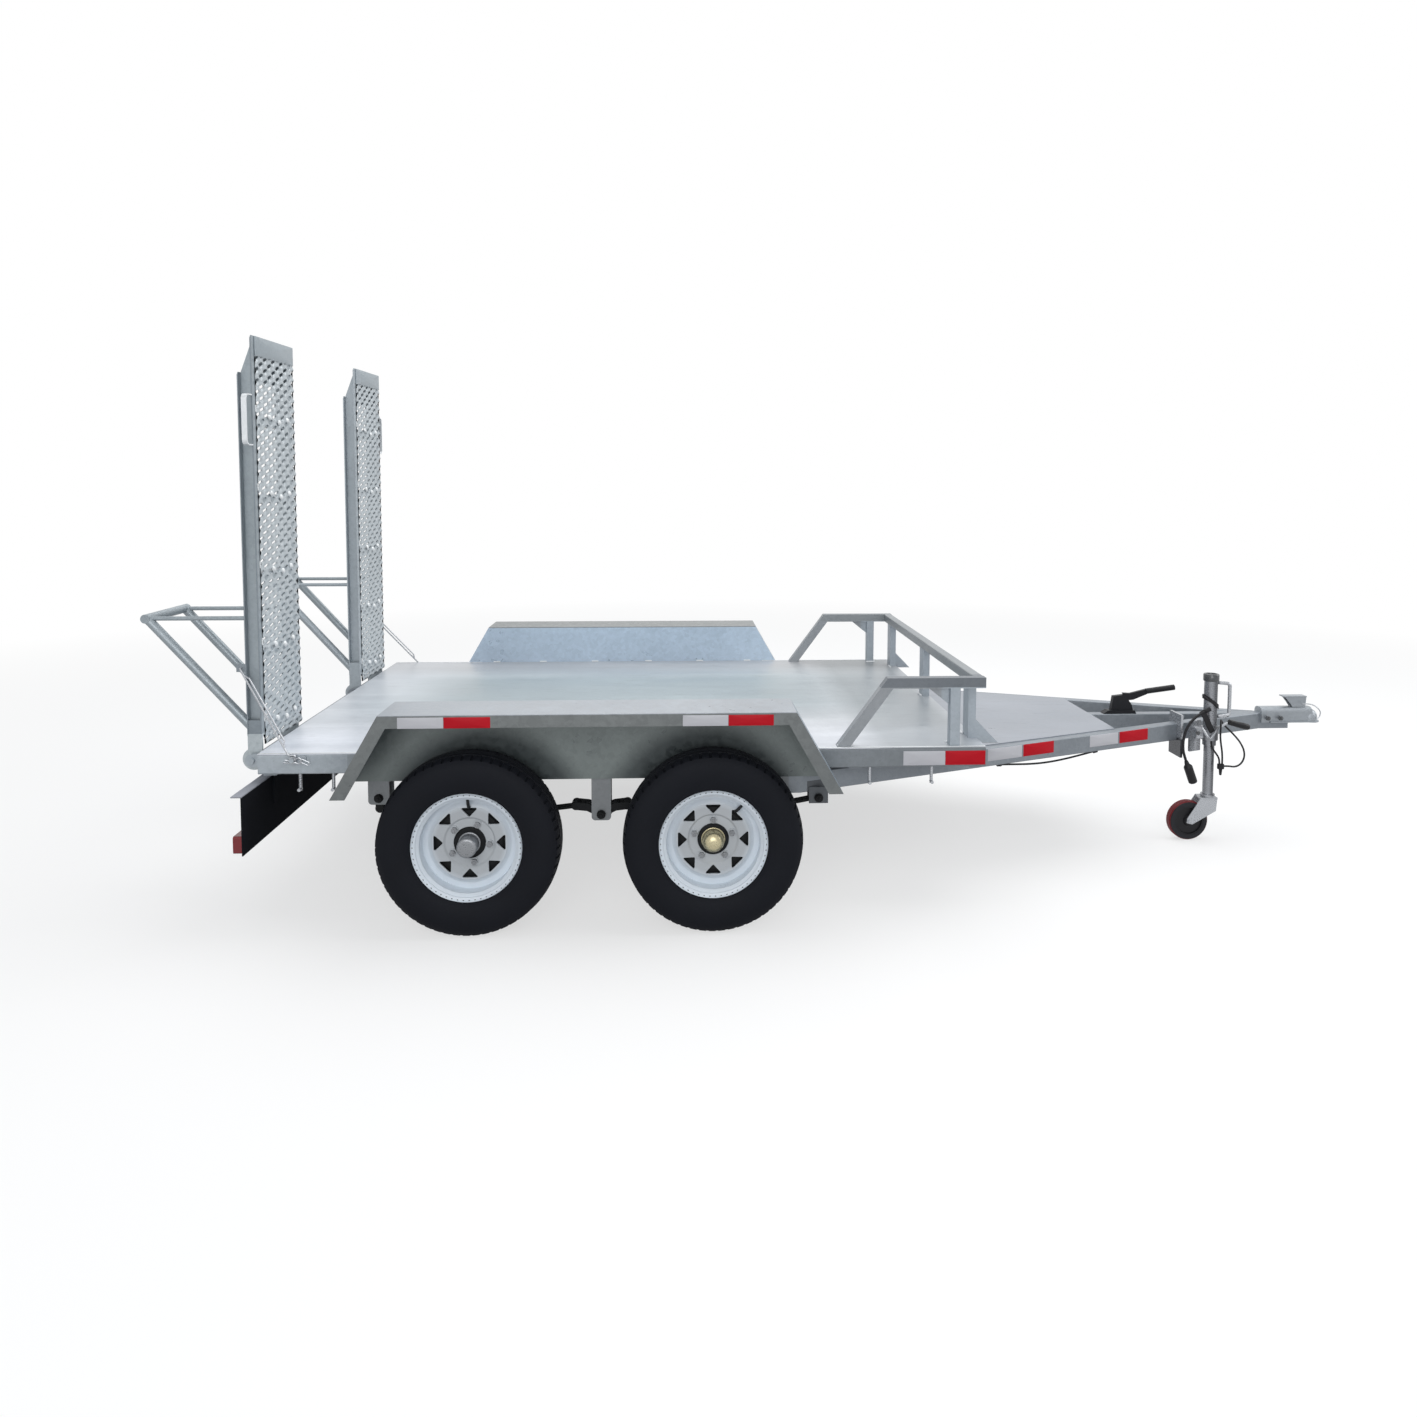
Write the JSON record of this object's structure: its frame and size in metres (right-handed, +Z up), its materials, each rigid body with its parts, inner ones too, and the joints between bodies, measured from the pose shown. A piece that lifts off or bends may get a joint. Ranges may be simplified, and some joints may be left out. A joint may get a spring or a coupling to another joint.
{
  "type": "equipment trailer",
  "caption": "Galvanised tandem-axle equipment trailer with a flat deck, headboard, stand-up loading ramps, A-frame drawbar, ball coupling and jockey wheel.",
  "frame": {"origin": "middle of the trailer's length and width, on the ground", "axes": "+X forward to the coupling, +Y left, +Z up"},
  "size_m": [5.0349, 2.322, 2.141],
  "materials": {
    "galvanised": "hot-dip galvanised, soft grey with a faint spangle",
    "deck_steel": "galvanised sheet, satin with streaks",
    "guard_sheet": "galvanised sheet, blue-grey spangle",
    "bar_steel": "galvanised box section",
    "coupling_steel": "zinc-plated casting",
    "bright_zinc": "bright zinc plate",
    "ramp_steel": "galvanised, spangled",
    "board_steel": "dark galvanised sheet",
    "black_paint": "satin black",
    "axle_black": "black paint",
    "tyre_rubber": "black rubber",
    "rim_white": "white enamel",
    "jockey_red": "dark red rubber",
    "cable_black": "black sheath",
    "black_plastic": "moulded black",
    "lamp_red": "red lens"
  },
  "bodies": {
    "chassis": {"deck_plate": "deck_steel", "front_deck_plates": "deck_steel", "side_rails": "galvanised", "cross_members": "galvanised", "ramp_hinges": "galvanised", "tie_hooks": "bright_zinc", "mudguards": "guard_sheet", "headboard_top_rail": "bar_steel", "headboard_sides": "bar_steel", "headboard_posts": "bar_steel", "drawbar_rails": "galvanised", "centre_rail": "galvanised", "coupling_body": "coupling_steel", "coupling_lever": "coupling_steel", "handbrake_base": "black_paint", "handbrake_lever": "black_paint", "jockey_brackets": "bright_zinc", "jockey_outer_tube": "bright_zinc", "jockey_clamp": "bright_zinc", "jockey_crank": "bright_zinc", "axles": "axle_black", "leaf_springs": "axle_black", "spring_hangers": "galvanised", "rockers_and_shackles": "axle_black", "light_board": "board_steel", "tail_lamps": "lamp_red", "stay_pins": "galvanised", "rail_cable": "cable_black", "cable_clips": "cable_black", "lead": "cable_black", "lead_plug": "black_plastic", "breakaway_line": "cable_black", "breakaway_loop": "cable_black", "breakaway_ferrule": "cable_black"},
    "front_right_wheel": {"front_right_tyre": "tyre_rubber", "front_right_rim": "rim_white", "front_right_hub": "axle_black"},
    "front_left_wheel": {"front_left_tyre": "tyre_rubber", "front_left_rim": "rim_white", "front_left_hub": "axle_black"},
    "rear_right_wheel": {"rear_right_tyre": "tyre_rubber", "rear_right_rim": "rim_white", "rear_right_hub": "axle_black"},
    "rear_left_wheel": {"rear_left_tyre": "tyre_rubber", "rear_left_rim": "rim_white", "rear_left_hub": "axle_black"},
    "right_ramp": {"right_ramp_frame": "ramp_steel", "right_ramp_tread": "ramp_steel", "right_ramp_legs": "ramp_steel", "right_ramp_handle": "galvanised", "right_ramp_stay": "bright_zinc"},
    "left_ramp": {"left_ramp_frame": "ramp_steel", "left_ramp_tread": "ramp_steel", "left_ramp_legs": "ramp_steel", "left_ramp_handle": "galvanised", "left_ramp_stay": "bright_zinc"},
    "jockey_tube": {"jockey_leg": "bright_zinc"},
    "jockey_castor": {"jockey_fork": "bright_zinc"},
    "jockey_wheel": {"jockey_tyre": "jockey_red", "jockey_hub": "black_plastic"}
  },
  "joints": [
    {"name": "front_right_wheel_spin", "type": "hinge", "parent": "chassis", "child": "front_right_wheel", "pos_m": [-0.38395, -1.0535, 0.325], "axis": [0, 1, 0], "continuous": true},
    {"name": "front_left_wheel_spin", "type": "hinge", "parent": "chassis", "child": "front_left_wheel", "pos_m": [-0.38395, 1.0535, 0.325], "axis": [0, 1, 0], "continuous": true},
    {"name": "rear_right_wheel_spin", "type": "hinge", "parent": "chassis", "child": "rear_right_wheel", "pos_m": [-1.25195, -1.0535, 0.325], "axis": [0, 1, 0], "continuous": true},
    {"name": "rear_left_wheel_spin", "type": "hinge", "parent": "chassis", "child": "rear_left_wheel", "pos_m": [-1.25195, 1.0535, 0.325], "axis": [0, 1, 0], "continuous": true},
    {"name": "right_ramp_fold", "type": "hinge", "parent": "chassis", "child": "right_ramp", "pos_m": [-2.10195, -0.604, 0.565], "axis": [0, -1, 0], "range_deg": [0, 108]},
    {"name": "left_ramp_fold", "type": "hinge", "parent": "chassis", "child": "left_ramp", "pos_m": [-2.10195, 0.604, 0.565], "axis": [0, -1, 0], "range_deg": [0, 108]},
    {"name": "jockey_height", "type": "slide", "parent": "chassis", "child": "jockey_tube", "axis": [0, 0, -1], "range_m": [-0.08, 0.12]},
    {"name": "jockey_swivel", "type": "hinge", "parent": "jockey_tube", "child": "jockey_castor", "pos_m": [1.87205, -0.23501, 0.19], "axis": [0, 0, 1], "continuous": true},
    {"name": "jockey_wheel_spin", "type": "hinge", "parent": "jockey_castor", "child": "jockey_wheel", "pos_m": [1.78005, -0.23501, 0.088], "axis": [0, 1, 0], "continuous": true}
  ]
}
